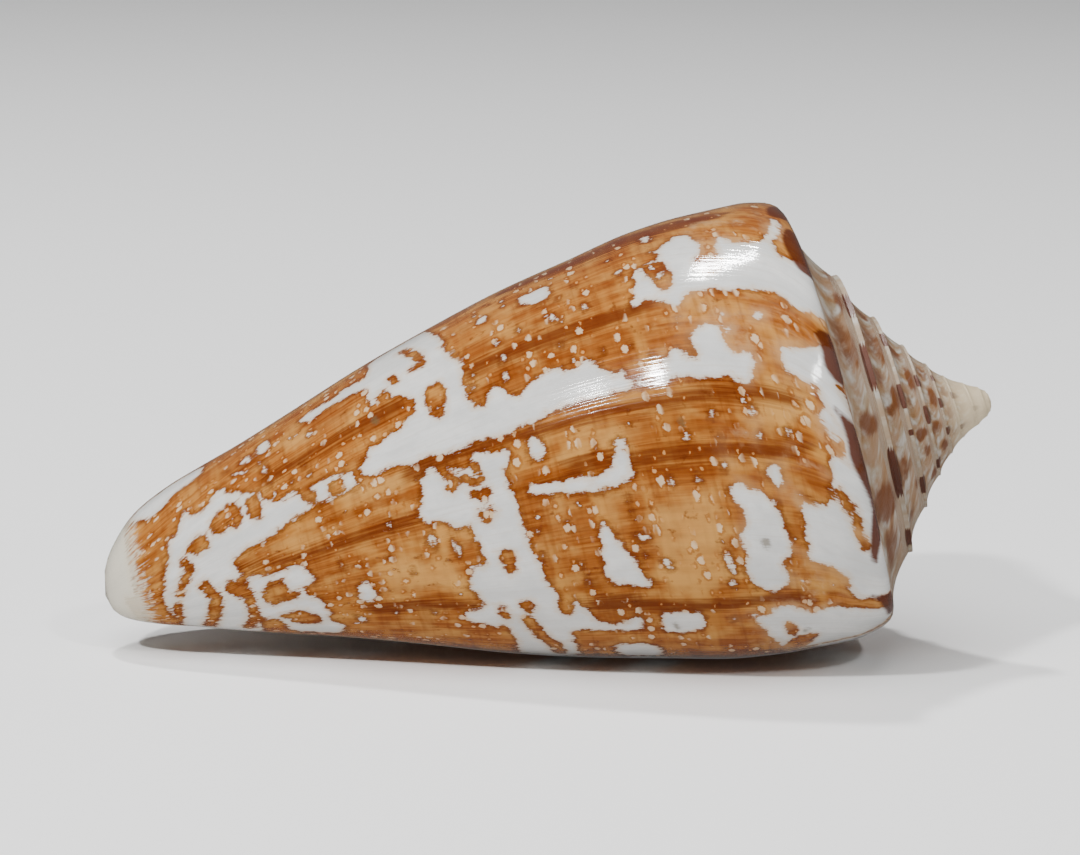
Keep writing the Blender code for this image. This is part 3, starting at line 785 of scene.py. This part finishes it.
def write_fields(shell, coil):
    """Stores what the enamel reads at every vertex."""
    side, whorl, degrees, share, radius_mm, grown = coil_readings(coil)
    white, dark, pale, pits = side_markings(share, degrees, radius_mm)
    retreat = np.where(side, curve_through(LIP_RETREAT, share), curve_through(RAMP_RETREAT, share))
    fields = {
        "across": percent_down(side, share),
        "grown": (grown + retreat) * 360,
        "on_ramp": np.where(side, 0.0, 1.0),
        "white": np.where(side, white, 0.0),
        "dark": np.where(side, dark, -MARK_REACH),
        "pale": np.where(side, pale, -MARK_REACH),
        "pits": np.where(side, pits, -MARK_REACH),
        "blots": np.where(side, 0.0, ramp_field(whorl, share, degrees)),
        "flames": flame_field(side, whorl, share, degrees, radius_mm),
        "tip": np.clip((TIP_MM - radius_mm) / TIP_FADE_MM, 0, 1) * ~side,
    }
    for name, values in fields.items():
        made = shell.data.attributes.new(name, "FLOAT", "POINT")
        made.data.foreach_set("value", np.ascontiguousarray(values, dtype=np.float32))


def tint(red, green, blue):
    """A colour as the eye reads it, in 0 to 255, made linear."""
    parts = [c / 255 for c in (red, green, blue)]
    return tuple(c / 12.92 if c <= 0.04045 else ((c + 0.055) / 1.055) ** 2.4 for c in parts) + (1.0,)


class Level:
    """One value in a material, so that sums read as sums."""

    def __init__(self, finish, socket):
        self.finish = finish
        self.socket = socket

    def sum(self, operation, first, second):
        return self.finish.node("ShaderNodeMath", {"operation": operation}, {0: first, 1: second})

    def __add__(self, other):
        return self.sum("ADD", self, other)

    def __sub__(self, other):
        return self.sum("SUBTRACT", self, other)

    def __rsub__(self, other):
        return self.sum("SUBTRACT", other, self)

    def __mul__(self, other):
        return self.sum("MULTIPLY", self, other)

    def __truediv__(self, other):
        return self.sum("DIVIDE", self, other)

    __radd__ = __add__
    __rmul__ = __mul__

    def higher(self, other):
        return self.sum("MAXIMUM", self, other)

    def step(self, low, high):
        """0 below low, 1 above high, smooth between."""
        values = {0: self, 1: low, 2: high, 3: 0.0, 4: 1.0}
        return self.finish.node("ShaderNodeMapRange", {"interpolation_type": "SMOOTHSTEP"}, values)


class Finish:
    """A material under way."""

    def __init__(self, name):
        self.material = bpy.data.materials.new(name)
        self.material.use_nodes = True
        self.tree = self.material.node_tree

    def put(self, socket, value):
        if isinstance(value, Level):
            self.tree.links.new(value.socket, socket)
        else:
            socket.default_value = value

    def node(self, kind, settings=None, values=None, gives=0):
        made = self.tree.nodes.new(kind)
        for name, value in (settings or {}).items():
            setattr(made, name, value)
        for name, value in (values or {}).items():
            self.put(made.inputs[name], value)
        return Level(self, made.outputs[gives])

    def field(self, name):
        return self.node("ShaderNodeAttribute", {"attribute_name": name}, gives="Fac")

    def mix(self, factor, first, second):
        return self.node("ShaderNodeMix", {"data_type": "RGBA"}, {0: factor, 6: first, 7: second}, gives=2)

    def over(self, base, layers):
        """Lays tints over a base colour one after another, each as much as its amount says."""
        for amount, colour in layers:
            base = self.mix(amount, base, tint(*colour))
        return base

    def noise(self, x, y, detail, roughness, layer):
        """Smooth noise about 0.5 over two values, one cell to each whole step."""
        place = self.node("ShaderNodeCombineXYZ", values={0: x, 1: y, 2: layer})
        values = {"Vector": place, "Scale": 1.0, "Detail": detail, "Roughness": roughness}
        return self.node("ShaderNodeTexNoise", values=values)

    def finished(self, values):
        """The material, with these values on its surface."""
        surface = self.tree.nodes["Principled BSDF"]
        for name, value in values.items():
            self.put(surface.inputs[name], value)
        return self.material


# Noises of the enamel: cells to a percent down the side and to a degree, detail, roughness and layer
GRAINS = {
    "streaks": (0.10, 1.1, 3, 0.6, 0),
    "fine": (0.45, 2.6, 2, 0.6, 7),
    "clouds": (0.16, 0.12, 3, 0.55, 3),
    "rows": (1.3, 0.03, 2, 0.5, 11),
    "columns": (0.36, 0.03, 2, 0.5, 13),
    "bands": (0.035, 0.26, 3, 0.6, 17),
    "lobes": (0.75, 0.34, 3, 0.65, 5),
    "specks": (0.42, 0.20, 3, 0.6, 37),
    "veil": (0.07, 0.05, 2, 0.5, 47),
    "frayed": (2, 0.9, 2, 0.6, 43),
    "dotted": (0.42, 0.045, 2, 0.6, 19),
    "dust": (0.22, 0.14, 3, 0.6, 41),
    "ridges": (0.025, 1.3, 2, 0.5, 23),
    "grooves": (1.9, 0.01, 1, 0.5, 29),
}
FIELDS = ("on_ramp", "white", "dark", "pale", "pits", "blots", "flames", "tip")
# Where the side's colour changes in percent down, the cells of the dots, the edges of the white
# marks, the specks of white in the brown, and the height of the relief in m
VEIL_PERCENT = (12.0, 24.0)
CREAM_PERCENT = (93.4, 95.2)
GROOVED_PERCENT = (55.0, 90.0)
DOT_PERCENT = 1.6
DOT_DEGREES = 4.6
WHITE_EDGE_MM = 0.09
WHITE_INSET_MM = 0.20
SPECK_LEVEL = 0.685
SPECK_MM = 4.0
RELIEF = 0.000024


def grains_of(made):
    """The fields and noises that the enamel's colours share, under their names."""
    across, grown = made.field("across"), made.field("grown")
    g = SimpleNamespace(across=across, grown=grown, **{name: made.field(name) for name in FIELDS})
    for name, (x, y, detail, roughness, layer) in GRAINS.items():
        setattr(g, name, made.noise(across * x, grown * y, detail, roughness, layer))
    return g


def brown_enamel(made, g, white, whiteness):
    """The brown about the white marks: streaked, clouded and dark along their edges."""
    veil = g.veil.step(0.44, 0.56) * (1 - g.across.step(*VEIL_PERCENT))
    rim = white.step(-0.50, -0.05) * (1 - whiteness) * (1 - veil * 0.7)
    # The darker flows include a painted shade: the darker strip along the top of the side
    flow_and_top_shade = (g.dark + (g.streaks - 0.5) * 1.4 + (g.bands - 0.5)).step(-0.62, 0.35)
    pale = (g.pale + (g.clouds - 0.5) * 3.0 + (g.columns - 0.5) * 3.0).step(-0.9, 1.1)
    base = made.mix(g.bands.step(0.32, 0.68), tint(168, 106, 44), tint(132, 68, 18))
    return made.over(base, (
        (g.streaks.step(0.36, 0.68) * 0.60, (102, 42, 4)),
        (g.clouds.step(0.44, 0.66) * 0.52, (196, 144, 74)),
        (g.rows.step(0.45, 0.75) * 0.40, (106, 48, 8)),
        (g.columns.step(0.48, 0.70) * 0.42, (186, 130, 60)),
        (pale * 0.55, (198, 148, 80)),
        (flow_and_top_shade * 0.85, (92, 34, 2)),
        (rim * 0.70, (84, 30, 0)),
        (white.step(-1.1, 0.1) * veil * 0.45, (206, 166, 120)),
    ))


def dotted(made, g, brown):
    """The brown with stretches of small pale dots, each in a dark ring."""
    cells = made.node("ShaderNodeCombineXYZ", values={0: g.across / DOT_PERCENT, 1: g.grown / DOT_DEGREES})
    values = {"Vector": cells, "Scale": 1.0, "Randomness": 0.75}
    dots = made.node("ShaderNodeTexVoronoi", {"voronoi_dimensions": "2D"}, values)
    size = Level(made, dots.socket.node.outputs["Color"]).step(0.30, 0.75)
    dots = dots + 0.08 - size * 0.20 + (g.frayed - 0.5) * 0.45 + (g.lobes - 0.5) * 0.30
    here = g.dotted.step(0.48, 0.58)
    ring = dots.step(0.16, 0.22) * (1 - dots.step(0.30, 0.42)) * here
    ringed = made.mix(ring * 0.45, brown, tint(116, 50, 4))
    beads = made.mix(size, tint(200, 142, 82), tint(212, 184, 148))
    return made.mix((1 - dots.step(0.12, 0.20)) * here * 0.80, ringed, beads)


def white_enamel(made, g, white):
    """The white marks: faintly clouded and streaked, and warmer along their edges."""
    base = made.mix(g.clouds.step(0.3, 0.7), tint(213, 212, 209), tint(196, 196, 194))
    return made.over(base, (
        (g.streaks.step(0.45, 0.75) * 0.40, (190, 182, 172)),
        (g.lobes.step(0.45, 0.75) * 0.40, (188, 188, 186)),
        ((1 - white.step(0.05, 0.45)) * 0.40, (196, 164, 124)),
    ))


def ramp_enamel(made, g):
    """The ramps of the spire: dusty, with brown clouds and blots, a dull edge and suture and a pale tip."""
    blots = (g.blots + (g.dust - 0.5) * 1.2 + (g.fine - 0.5) * 0.3).step(0.08, 0.70)
    suture = 1 - g.across.step(-RAMP_PERCENT, -11.0)
    base = made.mix(g.dust.step(0.36, 0.66), tint(186, 181, 172), tint(156, 134, 106))
    return made.over(base, (
        (g.clouds.step(0.36, 0.60) * 0.75, (144, 98, 48)),
        (blots * 0.85, (106, 52, 6)),
        (g.across.step(-1.4, -0.4) * 0.5, (146, 136, 118)),
        (suture * 0.6, (120, 88, 60)),
        (g.tip, (206, 188, 156)),
    ))


def enamel():
    """The outside: white enamel with brown flames and bands, drawn out along the growth lines."""
    made = Finish("shell_enamel")
    g = grains_of(made)
    ragged = (g.fine - 0.5) * 0.40 + (g.streaks - 0.5) * 0.30 + (g.lobes - 0.5)
    white = g.white.higher((g.specks - SPECK_LEVEL) * SPECK_MM) + ragged - WHITE_INSET_MM
    whiteness = white.step(-WHITE_EDGE_MM, WHITE_EDGE_MM)
    brown = dotted(made, g, brown_enamel(made, g, white, whiteness))
    side = made.mix(whiteness, brown, white_enamel(made, g, white))
    cream = (g.across + (g.lobes - 0.5) * 7.0 + (g.streaks - 0.5) * 4.0).step(*CREAM_PERCENT)
    side = made.mix(cream * 0.8, side, tint(206, 198, 178))
    flames = (g.flames + (g.fine - 0.5) * 0.14 + (g.streaks - 0.5) * 0.2).step(-0.18, 0.16)
    pits = (g.pits + (g.fine - 0.5) * 0.4 + (g.lobes - 0.5) * 0.8).step(-0.25, 0.12)
    colour = made.over(made.mix(g.on_ramp, side, ramp_enamel(made, g)), (
        (flames * (0.95 - g.tip * 0.7), (78, 28, 0)),
        (pits * 0.65, (92, 78, 50)),
    ))
    relief = g.ridges * 0.8 + g.fine * 0.08 + g.grooves * g.across.step(*GROOVED_PERCENT) * 0.8
    relief = relief + g.streaks * 0.2 + g.on_ramp * g.streaks * 1.2 - pits * 0.8
    return made.finished({
        "Base Color": colour,
        "Roughness": 0.09 + g.on_ramp * 0.29 + (g.fine - 0.5) * 0.10,
        "Normal": made.node("ShaderNodeBump", values={"Height": relief, "Distance": RELIEF}),
        "IOR": 1.55,
        "Coat Weight": 0.10,
        "Coat Roughness": 0.06,
    })


def porcelain():
    """The inside of the aperture: smooth, white, faintly pink."""
    made = Finish("aperture_porcelain")
    place = made.node("ShaderNodeTexCoord", gives="Object")
    clouds = made.node("ShaderNodeTexNoise", values={"Vector": place, "Scale": 130.0, "Detail": 2.0})
    return made.finished({
        "Base Color": made.mix(clouds.step(0.35, 0.65), tint(236, 228, 220), tint(226, 212, 202)),
        "Roughness": 0.18 + clouds * 0.10,
        "Coat Weight": 0.3,
        "Coat Roughness": 0.08,
    })


# The studio: floor in m and grey, room light, the point the lights face, and for each light
# its direction, distance, width and height in m, watts, and whether it shows in the gloss
FLOOR_SIZE = 4.0
FLOOR_GREY = 0.93
ROOM_LIGHT = 0.14
LIT_POINT = (0.004, 0.0, 0.016)
LIGHTS = {
    "top_box": ((-0.19, 0.3, 0.93), 0.6, 0.04, 0.055, 2.2, True),
    "left_box": ((-0.47, -0.55, 0.69), 0.6, 0.045, 0.028, 2.7, True),
    "right_box": ((0.39, -0.65, 0.66), 0.6, 0.035, 0.05, 0.9, True),
    "even_light": ((-0.15, -0.35, 0.92), 0.8, 0.6, 0.6, 4.8, False),
}


def pale_floor():
    """A plain pale floor for the light to rest on."""
    bpy.ops.object.select_all(action="DESELECT")
    bpy.ops.mesh.primitive_plane_add(size=FLOOR_SIZE, location=(0, 0, cad_low[2]))
    floor = bpy.context.object
    floor.name = "floor"
    paper = Finish("floor_paper").finished({"Base Color": (FLOOR_GREY,) * 3 + (1.0,), "Roughness": 0.9})
    floor.data.materials.append(paper)
    floor.visible_glossy = False


def studio():
    """Even white room light, small softboxes above and in front, and one broad light."""
    world = bpy.data.worlds.new("studio")
    bpy.context.scene.world = world
    world.use_nodes = True
    background = world.node_tree.nodes["Background"]
    background.inputs["Color"].default_value = (1.0, 1.0, 1.0, 1.0)
    background.inputs["Strength"].default_value = ROOM_LIGHT
    middle = Vector(LIT_POINT)
    for name, (towards, distance, width, height, watts, in_gloss) in LIGHTS.items():
        lamp = bpy.data.lights.new(name, "AREA")
        lamp.shape = "RECTANGLE"
        lamp.size = width
        lamp.size_y = height
        lamp.energy = watts
        held = bpy.data.objects.new(name, lamp)
        bpy.context.scene.collection.objects.link(held)
        held.location = middle + Vector(towards) * distance
        held.rotation_euler = (middle - held.location).to_track_quat("-Z", "Y").to_euler()
        held.visible_glossy = in_gloss


# Camera: a little above level, at the photograph's place
CAMERA_SWING = math.radians(-2.4)
CAMERA_HEIGHT = math.radians(9.794)
CAMERA_ROLL = math.radians(0.736)
CAMERA_DISTANCE = 0.3242
CAMERA_LENS = 157.7
SENSOR_WIDTH = 36.0
CLIP_START = 0.01
CAMERA_TARGET = (0.0, 0.0, 0.0155)
CAMERA_ASIDE = (-0.00054, -0.00022)


def photographer():
    """The camera at the photograph's place."""
    swing, height, roll = CAMERA_SWING, CAMERA_HEIGHT, CAMERA_ROLL
    level = math.cos(height)
    back = Vector((math.sin(swing) * level, -math.cos(swing) * level, math.sin(height)))
    level_right = Vector((math.cos(swing), math.sin(swing), 0.0))
    level_up = back.cross(level_right)
    aside, lift = CAMERA_ASIDE
    place = Vector(CAMERA_TARGET) + level_right * aside + level_up * lift + back * CAMERA_DISTANCE
    right = level_right * math.cos(roll) + level_up * math.sin(roll)
    up = back.cross(right)
    data = bpy.data.cameras.new("photographer")
    data.lens = CAMERA_LENS
    data.sensor_width = SENSOR_WIDTH
    data.sensor_fit = "HORIZONTAL"
    data.clip_start = CLIP_START
    held = bpy.data.objects.new("photographer", data)
    bpy.context.scene.collection.objects.link(held)
    turned = Matrix((right, up, back)).transposed().to_4x4()
    turned.translation = place
    held.matrix_world = turned
    bpy.context.scene.camera = held


def main():
    shell = cut_coil()
    coil = lay_down(shell)
    write_fields(shell, coil)
    pick(shell)
    bpy.ops.object.shade_smooth_by_angle(angle=SMOOTH_ANGLE)
    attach(shell, "root")
    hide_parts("shell")
    pale_floor()
    studio()
    photographer()


main()
